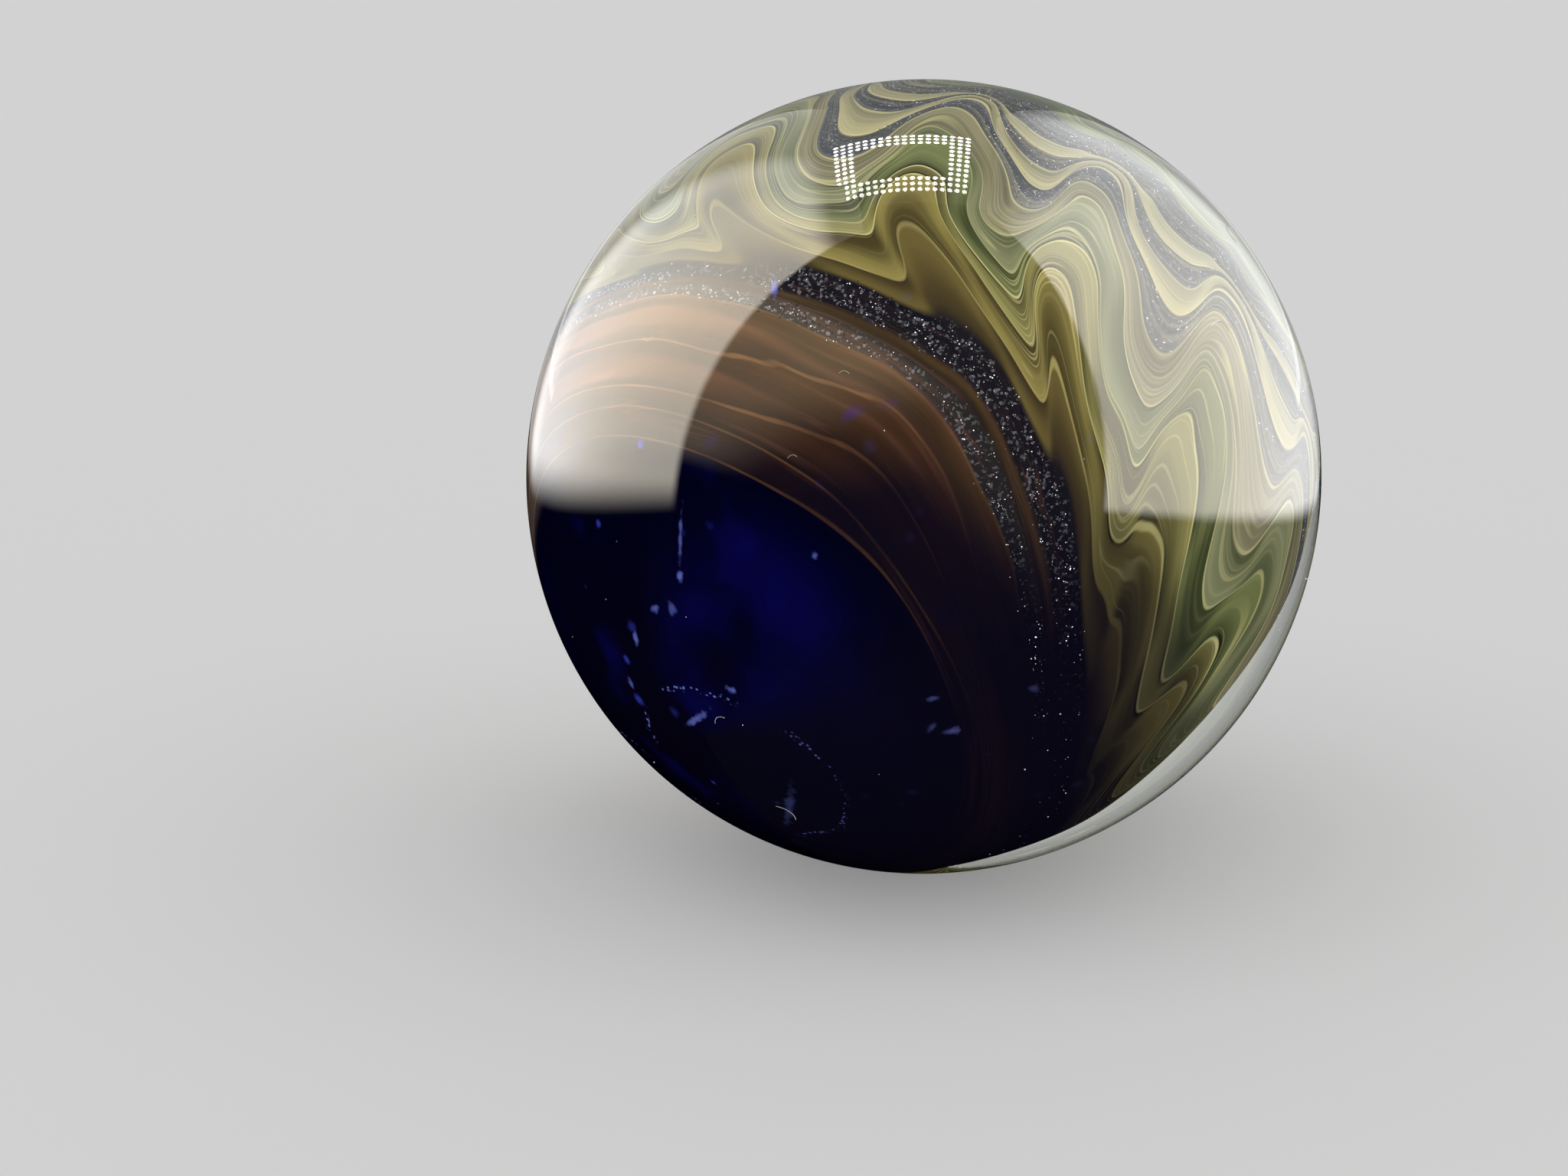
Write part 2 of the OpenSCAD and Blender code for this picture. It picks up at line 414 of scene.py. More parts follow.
def make_hairlines():
    """Fine pale threads and soft streaks that run with the drawn glass."""
    tree, given, result = new_group(
        "hairlines", "ShaderNodeTree",
        [("Under", COLOUR), ("Lean", NUMBER), ("Drawn", VECTOR), ("Pale", COLOUR),
         ("Dark", COLOUR), ("Start", NUMBER, 84.0), ("End", NUMBER, 152.0),
         ("Threads", NUMBER, 0.55), ("Streaks", NUMBER, 1.2), ("Thread Strength", NUMBER, 0.5),
         ("Streak Strength", NUMBER, 0.3)],
        [("Colour", COLOUR)])
    sockets = given.outputs
    lean = Wire(tree, sockets["Lean"])
    across, ahead = (part * THREAD_SPREAD for part in split(tree, sockets["Drawn"])[:2])
    start, end = Wire(tree, sockets["Start"]), Wire(tree, sockets["End"])
    on = rise(lean, start, start + 4.0) * (1.0 - rise(lean, end - 10.0, end))

    streak = cloud(tree, join(tree, lean * sockets["Streaks"], across, ahead), 1.0, 2.0, 7.0)
    strong = on * (rise(lean, 104.0, 112.0) * 0.6 + 0.4) * sockets["Streak Strength"]
    dark = rise(streak * -1.0, 0.0, 0.6) * strong
    light = rise(streak, 0.0, 0.6) * strong
    shade = blend_colours(tree, dark, sockets["Under"], sockets["Dark"])
    shade = blend_colours(tree, light, shade, sockets["Pale"])

    thread = cloud(tree, join(tree, lean * sockets["Threads"], across, ahead), 1.0, 0.0, 19.0)
    thread = 1.0 - rise(calc("ABSOLUTE", thread), 0.0, 0.07)
    patch = rise(cloud(tree, sockets["Drawn"], 2.4, 1.0, 11.0), -0.25, 0.25)
    thread = thread * patch * on * sockets["Thread Strength"]
    shade = blend_colours(tree, thread, shade, sockets["Pale"])
    plug(tree, shade, result.inputs["Colour"])
    return tree


def make_seeds():
    """Soft round seeds of trapped blue, one in each Voronoi cell that the noise picks."""
    tree, given, result = new_group(
        "blue_seeds", "ShaderNodeTree",
        [("Place", VECTOR), ("Per Metre", NUMBER, 420.0), ("Radius", NUMBER, 0.22)],
        [("Amount", NUMBER)])
    sockets = given.outputs
    off, (pick, width, strength) = cells(tree, sockets["Place"], sockets["Per Metre"])
    chosen = rise(pick, 0.42, 0.48)
    group = rise(cloud(tree, sockets["Place"], 150.0, 0.0, 14.0), -0.3, 0.0)
    size = (width * 0.8 + 0.35) * sockets["Radius"]
    ragged = cloud(tree, sockets["Place"], 1700.0, 1.0, 37.0) * 0.07
    dot = 1.0 - rise(off + ragged, size * 0.1, size)
    plug(tree, dot * chosen * group * (strength * 0.6 + 0.1), result.inputs["Amount"])
    return tree


# Painted glows of light in the blue glass: turn, tilt, radius and strength
PAINTED_BLUE_GLOWS = [(-24.0, -10.0, 8.5 * MM, 0.7), (-34.0, -22.0, 6.0 * MM, 0.5),
              (-13.0, -31.0, 7.0 * MM, 0.45), (-24.0, -52.0, 7.0 * MM, 0.25),
              (-95.0, -20.0, 8.0 * MM, 0.6), (-140.0, -50.0, 7.0 * MM, 0.5)]
# Bubbles in the blue: turn and tilt of the middle, bend from upright, length, half width
STREAKS = [(-30.0, -49.0, 27.0, 5.6 * MM, 0.34 * MM), (-41.5, -30.5, 55.0, 3.0 * MM, 0.26 * MM),
           (-38.3, 0.5, 2.0, 3.2 * MM, 0.16 * MM), (-38.6, -6.0, 10.0, 1.0 * MM, 0.26 * MM),
           (-44.5, -11.7, 70.0, 0.8 * MM, 0.28 * MM), (-40.7, -11.2, 20.0, 0.9 * MM, 0.34 * MM),
           (-50.7, -18.0, 20.0, 1.0 * MM, 0.24 * MM), (-56.6, -26.7, 0.0, 0.8 * MM, 0.30 * MM),
           (-31.8, -23.7, 90.0, 0.8 * MM, 0.30 * MM), (-15.5, 0.0, 0.0, 0.6 * MM, 0.22 * MM),
           (2.6, -28.0, 30.0, 1.0 * MM, 0.24 * MM), (6.2, -28.6, 80.0, 1.1 * MM, 0.34 * MM),
           (2.8, -22.4, 75.0, 0.9 * MM, 0.24 * MM), (19.0, -21.0, 12.0, 0.8 * MM, 0.34 * MM),
           (150.0, -40.0, 25.0, 1.6 * MM, 0.24 * MM), (-100.0, -22.0, -15.0, 1.9 * MM, 0.22 * MM)]
# Rings of fine dust left by burst bubbles: turn, tilt and radius
DUST_RINGS = [(-38.0, -42.0, 6.0 * MM), (-80.0, -48.0, 3.0 * MM)]
GOLDEN = 0.618


def streak_line(turn, tilt, bend):
    """The way a long bubble runs: bend degrees from upright, along the skin of the core."""
    out = from_degrees(turn, tilt)
    side = UP.cross(out).normalized()
    angle = math.radians(bend)
    return out.cross(side) * math.cos(angle) + side * math.sin(angle)


def make_streak():
    """A bubble drawn out along the skin of the core, soft and uneven at its edge."""
    tree, given, result = new_group(
        "long_bubble", "ShaderNodeTree",
        [("Place", VECTOR), ("Middle", VECTOR), ("Along", VECTOR), ("Length", NUMBER),
         ("Width", NUMBER)], [("Amount", NUMBER)])
    sockets = given.outputs
    off = vector_sum(tree, "SUBTRACT", sockets["Place"], sockets["Middle"])
    ahead = along(tree, off, sockets["Along"])
    deep = along(tree, off, unit(tree, sockets["Middle"]))
    beside = along(tree, off, off) - ahead * ahead - deep * deep
    near = ahead * sockets["Width"] / sockets["Length"]
    reach = calc("SQRT", calc("MAXIMUM", beside + near * near * 4.0, 0.0)) / sockets["Width"]
    reach = reach + cloud(tree, sockets["Place"], 1900.0, 2.0, 6.0) * 0.95
    plug(tree, 1.0 - rise(reach, 0.1, 1.05), result.inputs["Amount"])
    return tree


def make_dust_ring():
    """A broken circle of tiny bubbles."""
    tree, given, result = new_group(
        "dust_ring", "ShaderNodeTree",
        [("Place", VECTOR), ("Middle", VECTOR), ("Radius", NUMBER), ("Per Metre", NUMBER, 3600.0),
         ("Band", NUMBER, 0.22 * MM)], [("Amount", NUMBER)])
    sockets = given.outputs
    off = apart(tree, sockets["Place"], sockets["Middle"]) - sockets["Radius"]
    off = off + cloud(tree, sockets["Place"], 500.0, 1.0, 4.0) * 0.5 * MM
    ring = 1.0 - rise(calc("ABSOLUTE", off) / sockets["Band"], 0.4, 1.0)
    off_dot, _ = cells(tree, sockets["Place"], sockets["Per Metre"])
    dot = 1.0 - rise(off_dot, 0.15, 0.42)
    broken = rise(cloud(tree, sockets["Place"], 260.0, 0.0, 61.0), -0.25, 0.2)
    plug(tree, ring * dot * broken, result.inputs["Amount"])
    return tree


# Where the flakes lie, in degrees from the pole, just inside the glitter canes
GLITTER_BANDS = [(70.6, 74.0), (76.0, 81.0), (114.2, 118.4), (123.2, 127.8), (131.2, 137.5)]


def glitter_amount(lean):
    """1 in the bands that hold flakes, 0 elsewhere."""
    total = 0.0
    for low, high in GLITTER_BANDS:
        band = rise(lean, low - 0.3, low + 0.9) * (1.0 - rise(lean, high - 1.1, high + 0.4))
        total = band + total
    return total


# ---------------------------------------------------------------- materials
def new_material(name):
    material = bpy.data.materials.new(name)
    material.use_nodes = True
    shader = material.node_tree.nodes["Principled BSDF"]
    return material, material.node_tree, shader


# Fine grains of mica, and changes of tone from flake to flake, per metre
GRAINS, FLAKE_TONES = 7000.0, 5000.0
# The turn over which the left side begins, coming round from the back
LEFT_SIDE = (-150.0, -90.0)
# The hairlines over the canes: their colours, where they run, how many and how strong
HAIRLINES = (
    {"Pale": paint(215, 205, 145), "Dark": paint(40, 40, 26)},
    {"Pale": paint(214, 205, 160), "Dark": paint(60, 62, 60), "Start": 103.0, "End": 142.0,
     "Threads": 1.3, "Streaks": 2.4, "Thread_Strength": 0.3, "Streak_Strength": 0.35},
    {"Pale": paint(124, 84, 66), "Dark": paint(18, 11, 18), "Start": 48.0, "End": 84.0,
     "Threads": 0.8, "Streaks": 0.5, "Thread_Strength": 0.32, "Streak_Strength": 0.85})


def lay_canes(tree, at):
    """The canes from the pole on, each laid over the last with an edge that strays."""
    cane = make_cane()
    lean = Wire(tree, at["Lean"])
    round_ = Wire(tree, at["Turn"]) * (math.pi / HALF_TURN)
    grain = cloud(tree, at["Drawn"], 6.0, 2.0, 23.0)
    crest = rise(at["Rake"], -0.55, 0.55) * rise(lean, VEILS_END, 84.0)
    colour = paint(0, 0, 0)
    ends = [start for _, start, *_ in CANES[1:]] + [LAST_LEAN]
    for count, ((name, start, shaded, lit, lip, stray), end) in enumerate(zip(CANES, ends)):
        own = lean
        if stray:
            waves = 3.0 + count % 4 if start > VEILS_END else 2.0 + count % 2
            own = lean + sine(round_ * waves + 2.4 * count) * stray
        node = use_group(tree, cane, Under=colour, Lean=own, Start=start, End=end,
                         Shaded=paint(*shaded), Lit=paint(*lit), Lip=paint(*(lip or lit)),
                         Lip_Strength=LIP_STRENGTH if lip else 0.0,
                         Crack=SHADOW_LINE_STRENGTH if name in SHADOW_LINED_CANES else 0.0,
                         Grain=grain, Crest=crest)
        node.label = name
        colour = node.outputs["Colour"]
    tan_side = rise(cloud(tree, at["Drawn"], 1.3, 0.0, 41.0), -0.1, 0.35)
    tan_side = tan_side * rise(lean, 97.0, 100.0) * (1.0 - rise(lean, 106.0, 109.0))
    return blend_colours(tree, tan_side * 0.7, colour, paint(126, 120, 84))


def lay_hairlines(tree, at, colour):
    """The hairlines, and a paler edge on the folds of the left side."""
    hairlines = make_hairlines()
    for settings in HAIRLINES:
        colour = use_group(tree, hairlines, Under=colour, Lean=at["Lean"], Drawn=at["Drawn"],
                           **settings).outputs["Colour"]
    lean, turn = Wire(tree, at["Lean"]), Wire(tree, at["Seen Turn"])
    left_fold = (1.0 - rise(turn, -30.0, 25.0)) * rise(turn, *LEFT_SIDE)
    left_fold = left_fold * rise(lean, 81.8, 82.4) * (1.0 - rise(lean, 86.0, 93.0))
    return blend_colours(tree, left_fold * 0.75, colour, paint(146, 138, 92))


def light_the_blue(tree, place, seen, colour):
    """Painted glows and a haze of painted glow in the cobalt, and a little violet in the veils."""
    deep = 1.0 - rise(seen, 32.0, 48.0)
    for turn_at, tilt_at, size, strength in PAINTED_BLUE_GLOWS:
        off = apart(tree, place, CORE_R * from_degrees(turn_at, tilt_at))
        drift = rise(cloud(tree, place, 130.0, 3.0, turn_at), -0.35, 0.3)
        glow = (1.0 - rise(off, size * 0.3, size)) * deep * drift * strength
        colour = blend_colours(tree, glow, colour, paint(9, 7, 84))
    # A haze of painted glow over the cobalt
    painted_glow_haze = rise(cloud(tree, place, 190.0, 2.0, 9.0), 0.15, 0.6) * (1.0 - rise(seen, 44.0, 60.0))
    colour = blend_colours(tree, painted_glow_haze * 0.35, colour, paint(14, 11, 108))
    violet = rise(cloud(tree, place, 330.0, 0.0, 51.0), 0.50, 0.74)
    violet = violet * rise(seen, 46.0, 56.0) * (1.0 - rise(seen, 70.0, 80.0))
    return blend_colours(tree, violet * 0.55, colour, paint(58, 26, 150))


def lay_bubbles(tree, place, seen, colour):
    """Seeds, long bubbles and dust rings. Gives the new colour, and how much painted glow they give
    off.
    """
    spots = Wire(tree, use_group(tree, make_seeds(), Place=place).outputs["Amount"])
    in_blue = 1.0 - rise(seen, 47.0, 58.0) * 0.9
    # The bubbles are painted a paler blue, partly their own colour and partly painted glints
    colour = blend_colours(tree, spots * in_blue, colour, paint(56, 66, 206))
    shine = spots * 0.2
    streak, dust = make_streak(), make_dust_ring()
    for count, (turn_at, tilt_at, bend, length, width) in enumerate(STREAKS):
        middle = CORE_R * from_degrees(turn_at, tilt_at)
        mark = use_group(tree, streak, Place=place, Middle=middle, Length=length, Width=width,
                         Along=streak_line(turn_at, tilt_at, bend)).outputs["Amount"]
        mark = Wire(tree, mark) * (0.35 + 0.45 * (count * GOLDEN % 1.0))
        colour = blend_colours(tree, mark, colour, paint(88, 98, 190))
        shine = calc("MAXIMUM", shine, mark)
    for turn_at, tilt_at, size in DUST_RINGS:
        middle = CORE_R * from_degrees(turn_at, tilt_at)
        ring = use_group(tree, dust, Place=place, Middle=middle, Radius=size).outputs["Amount"]
        colour = blend_colours(tree, ring, colour, paint(96, 110, 205))
        shine = calc("MAXIMUM", shine, ring)
    return colour, calc("MAXIMUM", shine, 0.0)


def lay_sparkle(tree, place, lean, colour):
    """Grains of mica too fine to be flakes of their own, as pale specks: partly their own colour
    and partly painted glints.
    """
    _, (pick, _, _) = cells(tree, place, GRAINS)
    sparkle = rise(pick, 0.80, 0.97) * glitter_amount(lean)
    return blend_colours(tree, sparkle * 0.35, colour, paint(170, 170, 175))


def paint_side_light_and_shade(tree, turn, seen, colour):
    """Painted light on the left, which makes the veils there paler and brighter, and painted shade
    that darkens the glass toward the right.
    """
    # Painted light: the veils on the left are brightened and paled
    painted_side_light = (1.0 - rise(turn - seen, -30.0, -10.0)) * rise(turn, *LEFT_SIDE)
    painted_side_light = painted_side_light * rise(seen, 45.0, 49.0) * (1.0 - rise(seen, 70.0, 76.0))
    gain = painted_side_light * (2.6 - rise(turn, -10.0, 35.0) * 1.5) + 1.0
    colour = vector_sum(tree, "SCALE", colour, scale=gain)
    colour = blend_colours(tree, painted_side_light * 0.28, colour, paint(134, 122, 98))
    # Painted shade: three darkenings toward the right, blended toward a near-black blue
    shadow = rise(turn, 46.0, 112.0) * (1.0 - rise(seen, 56.0, 84.0))
    gloom = rise(turn - seen, -13.0, 5.0) * rise(seen, 45.0, 51.0)
    gloom = gloom * (1.0 - rise(seen, 57.0, 68.0))
    dusk = rise(turn, 66.0, 102.0) * (1.0 - rise(seen, 76.0, 86.0))
    keep = (1.0 - shadow * 0.8) * (1.0 - gloom * 0.85) * (1.0 - dusk * 0.66)
    return blend_colours(tree, 1.0 - keep, colour, paint(12, 10, 27))


def core_glass(swirl):
    """The coloured glass of the core, fused to the casing, so it has no gloss of its own."""
    material, tree, shader = new_material("raked_glass")
    place = tree.nodes.new("ShaderNodeTexCoord").outputs["Object"]
    at = use_group(tree, swirl, Place=place).outputs
    lean, turn, seen = (Wire(tree, at[label]) for label in ("Lean", "Seen Turn", "Seen Lean"))
    colour = lay_hairlines(tree, at, lay_canes(tree, at))
    colour = light_the_blue(tree, place, seen, colour)
    colour, shine = lay_bubbles(tree, place, seen, colour)
    colour = lay_sparkle(tree, place, lean, colour)
    plug(tree, paint_side_light_and_shade(tree, turn, seen, colour), shader.inputs["Base Color"])
    # Painted glow: the bubbles give off light through Emission, as if they caught it, though they
    # are no lamp
    shine = blend_colours(tree, shine, paint(0, 0, 0), paint(104, 112, 190))
    plug(tree, shine, shader.inputs["Emission Color"])
    shader.inputs["Emission Strength"].default_value = 0.35
    shader.inputs["Roughness"].default_value = 0.45
    shader.inputs["Specular IOR Level"].default_value = 0.0
    return material


def casing_glass():
    """Clear glass. Light on its way to the core goes straight through it."""
    material, tree, shader = new_material("clear_casing")
    shader.inputs["Base Color"].default_value = (0.93, 0.96, 0.92, 1.0)
    shader.inputs["Roughness"].default_value = 0.0
    shader.inputs["IOR"].default_value = 1.5
    shader.inputs["Transmission Weight"].default_value = 1.0
    path = tree.nodes.new("ShaderNodeLightPath")
    clear = tree.nodes.new("ShaderNodeBsdfTransparent")
    mix = tree.nodes.new("ShaderNodeMixShader")
    through = calc("MAXIMUM", Wire(tree, path.outputs["Is Shadow Ray"]),
                   Wire(tree, path.outputs["Is Diffuse Ray"]))
    plug(tree, through, mix.inputs[0])
    plug(tree, shader.outputs[0], mix.inputs[1])
    plug(tree, clear.outputs[0], mix.inputs[2])
    plug(tree, mix.outputs[0], tree.nodes["Material Output"].inputs["Surface"])
    return material


def flake_metal():
    """Flakes of mica: most are dull, and a few glow with a painted glint through Emission."""
    material, tree, shader = new_material("glitter_flakes")
    shader.inputs["Metallic"].default_value = 1.0
    shader.inputs["Roughness"].default_value = 0.3
    place = tree.nodes.new("ShaderNodeTexCoord").outputs["Object"]
    _, (pick, hue, _) = cells(tree, place, FLAKE_TONES)
    tint = blend_colours(tree, hue, paint(226, 216, 200), paint(206, 218, 240))
    colour = blend_colours(tree, rise(pick, 0.4, 0.9), paint(52, 52, 56), tint)
    plug(tree, colour, shader.inputs["Base Color"])
    # Painted glints: a few flakes give off light of their own, though they are no lamp
    painted_glint = rise(pick, 0.76, 0.95)
    plug(tree, blend_colours(tree, painted_glint, paint(0, 0, 0), tint), shader.inputs["Emission Color"])
    shader.inputs["Emission Strength"].default_value = 1.9
    return material


def lint_white():
    material, _, shader = new_material("lint")
    shader.inputs["Base Color"].default_value = paint(222, 222, 220)
    shader.inputs["Roughness"].default_value = 0.8
    return material


# ---------------------------------------------------------------- shapes
# Cells along each side of the cube that a ball is spread from
CASING_CELLS, CORE_CELLS = 84, 128
# The core is shallow at the lower right, where the casing shows as a clear rim: the
# turn and tilt of each flat, and the clear glass over it
SHALLOW_SIDES = ((117.0, -23.0, 9.6 * MM), (117.0, -42.0, 10.9 * MM), (126.5, -61.0, 9.6 * MM))
SHALLOW_BLEND = 1.5 * MM
# A flat reaches no farther round the ball than where it faces outward by this much
LEAST_FACING = 0.2
# The most that flakes and lint tip over, and how far a fibre curls, in radians
FLAKE_TILT, LINT_TILT, FIBRE_SWEEP = 0.5, 0.25, 1.9
GEOMETRY = "NodeSocketGeometry"


def new_object(name, data):
    thing = bpy.data.objects.new(name, data)
    bpy.context.scene.collection.objects.link(thing)
    return thing


def act(tree, kind, output, **values):
    """A geometry node with its inputs filled in, and the output that is asked for."""
    node = tree.nodes.new(kind)
    for label, value in values.items():
        plug(tree, value, node.inputs[label.replace("_", " ")])
    return node.outputs[output]


def dress(tree, shape, given, result):
    """The end of a tree: the shape with its material set."""
    done = act(tree, "GeometryNodeSetMaterial", "Geometry", Geometry=shape,
               Material=given.outputs["Material"])
    plug(tree, done, result.inputs["Geometry"])
    return tree


def make_ball_form():
    """A ball of nearly even square cells. Shallow of 1 flattens it on its shallow sides."""
    tree, given, result = new_group(
        "ball_form", "GeometryNodeTree",
        [("Geometry", GEOMETRY), ("Cells", "NodeSocketInt", 64), ("Radius", NUMBER, BALL_R),
         ("Shallow", NUMBER, 0.0), ("Blend", NUMBER, SHALLOW_BLEND),
         ("Material", "NodeSocketMaterial")],
        [("Geometry", GEOMETRY)])
    sockets = given.outputs
    cube = tree.nodes.new("GeometryNodeMeshCube")
    cube.inputs["Size"].default_value = (2.0, 2.0, 2.0)
    count = Wire(tree, sockets["Cells"]) + 1.0
    for label in ("Vertices X", "Vertices Y", "Vertices Z"):
        plug(tree, count, cube.inputs[label])
    place = tree.nodes.new("GeometryNodeInputPosition").outputs[0]
    spread = vector_sum(tree, "TANGENT", vector_sum(tree, "SCALE", place, scale=math.pi / 4))
    outward = unit(tree, spread)
    full = Wire(tree, sockets["Radius"])
    radius = full
    for turn, tilt, wall in SHALLOW_SIDES:
        facing = calc("MAXIMUM", along(tree, outward, from_degrees(turn, tilt)), LEAST_FACING)
        radius = calc("SMOOTH_MIN", (BALL_R - wall) / facing, radius, sockets["Blend"])
    radius = full + (radius - full) * sockets["Shallow"]
    moved = act(tree, "GeometryNodeSetPosition", "Geometry", Geometry=cube.outputs["Mesh"],
                Position=vector_sum(tree, "SCALE", outward, scale=radius))
    smooth = act(tree, "GeometryNodeSetShadeSmooth", "Geometry", Geometry=moved, Shade_Smooth=True)
    return dress(tree, smooth, given, result)


def grow(name, tree, source=None, **values):
    """Runs a geometry tree on a mesh and keeps what it makes as a plain mesh."""
    mesh = source.copy() if source else bpy.data.meshes.new(name)
    seed = new_object(name + "_seed", mesh)
    modifier = seed.modifiers.new("form", "NODES")
    modifier.node_group = tree
    for item in tree.interface.items_tree:
        label = item.name.replace(" ", "_")
        if item.in_out == "INPUT" and label in values:
            modifier[item.identifier] = values[label]
    graph = bpy.context.evaluated_depsgraph_get()
    mesh = bpy.data.meshes.new_from_object(seed.evaluated_get(graph))
    bpy.data.objects.remove(seed)
    mesh.name = name
    return new_object(name, mesh)


def make_flakes(swirl):
    """Thin six-sided flakes strewn over the glitter bands, each tilted its own way."""
    tree, given, result = new_group(
        "strewn_flakes", "GeometryNodeTree",
        [("Geometry", GEOMETRY), ("Per Square Metre", NUMBER, 2.6e7),
         ("Flake Radius", NUMBER, 0.036 * MM), ("Lift", NUMBER, 0.05 * MM),
         ("Seed", "NodeSocketInt", 4), ("Material", "NodeSocketMaterial")],
        [("Geometry", GEOMETRY)])
    sockets = given.outputs
    place = tree.nodes.new("GeometryNodeInputPosition").outputs[0]
    at = use_group(tree, swirl, Place=place).outputs
    patchy = rise(cloud(tree, at["Drawn"], 4.0, 1.0, 8.0), -0.45, 0.35) * 0.85 + 0.15
    turn, seen = Wire(tree, at["Seen Turn"]), Wire(tree, at["Seen Lean"])

    # Fewer flakes are strewn low on the right, where painted shade darkens the glass
    hidden = rise(turn, 84.0, 124.0) * (1.0 - rise(seen, 78.0, 100.0))
    amount = glitter_amount(Wire(tree, at["Lean"])) * patchy * (1.0 - hidden * 0.9)
    strew = tree.nodes.new("GeometryNodeDistributePointsOnFaces")
    plug(tree, sockets["Geometry"], strew.inputs["Mesh"])
    plug(tree, amount * sockets["Per Square Metre"], strew.inputs["Density"])
    plug(tree, sockets["Seed"], strew.inputs["Seed"])
    flake = tree.nodes.new("GeometryNodeMeshCircle")
    flake.fill_type = "NGON"
    flake.inputs["Vertices"].default_value = 6
    plug(tree, sockets["Flake Radius"], flake.inputs["Radius"])
    spin = turned(tree, strew.outputs["Rotation"], FLAKE_TILT, 0)
    size = random_value(tree, "FLOAT", 0.4, 1.2, 2)
    lifted = act(tree, "GeometryNodeSetPosition", "Geometry", Geometry=strew.outputs["Points"],
                 Offset=vector_sum(tree, "SCALE", strew.outputs["Normal"], scale=sockets["Lift"]))
    put = act(tree, "GeometryNodeInstanceOnPoints", "Instances", Points=lifted,
              Instance=flake.outputs["Mesh"], Rotation=spin, Scale=size)
    real = act(tree, "GeometryNodeRealizeInstances", "Geometry", Geometry=put)
    return dress(tree, real, given, result)


def make_lint():
    """Specks of dust and short curled fibres that lie on the glass."""
    tree, given, result = new_group(
        "lint", "GeometryNodeTree",
        [("Geometry", GEOMETRY), ("Specks", NUMBER, 9e3), ("Speck Radius", NUMBER, 0.045 * MM),
         ("Fibres", NUMBER, 1.6e3), ("Fibre Bend", NUMBER, 0.75 * MM),
         ("Fibre Radius", NUMBER, 0.016 * MM), ("Seed", "NodeSocketInt", 11),
         ("Material", "NodeSocketMaterial")],
        [("Geometry", GEOMETRY)])
    sockets = given.outputs
    speck = tree.nodes.new("GeometryNodeMeshIcoSphere")
    plug(tree, sockets["Speck Radius"], speck.inputs["Radius"])
    arc = tree.nodes.new("GeometryNodeCurveArc")
    arc.inputs["Resolution"].default_value = 9
    arc.inputs["Sweep Angle"].default_value = FIBRE_SWEEP
    plug(tree, sockets["Fibre Bend"], arc.inputs["Radius"])
    profile = tree.nodes.new("GeometryNodeCurvePrimitiveCircle")
    profile.inputs["Resolution"].default_value = 5
    plug(tree, sockets["Fibre Radius"], profile.inputs["Radius"])
    fibre = act(tree, "GeometryNodeCurveToMesh", "Mesh", Curve=arc.outputs["Curve"],
                Profile_Curve=profile.outputs["Curve"], Fill_Caps=True)
    both = tree.nodes.new("GeometryNodeJoinGeometry")
    for shape, count, offset in ((speck.outputs["Mesh"], sockets["Specks"], 0),
                                 (fibre, sockets["Fibres"], 1)):
        strew = tree.nodes.new("GeometryNodeDistributePointsOnFaces")
        plug(tree, sockets["Geometry"], strew.inputs["Mesh"])
        plug(tree, count, strew.inputs["Density"])
        plug(tree, Wire(tree, sockets["Seed"]) + offset, strew.inputs["Seed"])
        spin = turned(tree, strew.outputs["Rotation"], LINT_TILT, offset)
        size = random_value(tree, "FLOAT", 0.4, 1.3, offset)
        put = act(tree, "GeometryNodeInstanceOnPoints", "Instances", Points=strew.outputs["Points"],
                  Instance=shape, Rotation=spin, Scale=size)
        tree.links.new(put, both.inputs[0])
    real = act(tree, "GeometryNodeRealizeInstances", "Geometry", Geometry=both.outputs[0])
    return dress(tree, real, given, result)


def turned(tree, rotation, tilt, seed):
    """A rotation, tipped a little and turned round its own normal at random."""
    low = join(tree, -tilt, -tilt, 0.0)
    high = join(tree, tilt, tilt, 2 * math.pi)
    loose = tree.nodes.new("FunctionNodeEulerToRotation")
    plug(tree, random_value(tree, "FLOAT_VECTOR", low, high, 10 + seed), loose.inputs[0])
    turn = tree.nodes.new("FunctionNodeRotateRotation")
    turn.rotation_space = "LOCAL"
    plug(tree, rotation, turn.inputs["Rotation"])
    plug(tree, loose.outputs[0], turn.inputs["Rotate By"])
    return turn.outputs[0]


def random_value(tree, kind, low, high, seed):
    node = tree.nodes.new("FunctionNodeRandomValue")
    node.data_type = kind
    form = "VECTOR" if kind == "FLOAT_VECTOR" else "VALUE"
    for label, value in (("Min", low), ("Max", high)):
        socket = next(s for s in node.inputs if s.name == label and s.type == form)
        plug(tree, value, socket)
    node.inputs["Seed"].default_value = seed
    return next(s for s in node.outputs if s.type == form and s.enabled)


# ---------------------------------------------------------------- the marble
shade_swirl = make_swirl("ShaderNodeTree")
shape_swirl = make_swirl("GeometryNodeTree")
ball_form = make_ball_form()

casing = grow("casing", ball_form, Cells=CASING_CELLS, Radius=BALL_R, Material=casing_glass())
core = grow("core", ball_form, Cells=CORE_CELLS, Radius=CORE_R, Shallow=1.0,
            Material=core_glass(shade_swirl))
flakes = grow("flakes", make_flakes(shape_swirl), core.data, Material=flake_metal())
lint = grow("lint", make_lint(), casing.data, Material=lint_white())

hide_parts("marble")
for piece in (casing, core, flakes, lint):
    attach(piece, "root")


# ---------------------------------------------------------------- studio
FLOOR_Z = -BALL_R
FLOOR_REACH, FLOOR_PAINT = 30.0, 0.72
# The level of the sky as a light, as it is seen, and as it shows in reflections
SKY_LIGHT, SKY_SEEN, SKY_SHINE = 0.55, 0.66, 0.22
WHITE = (1.0, 1.0, 1.0, 1.0)


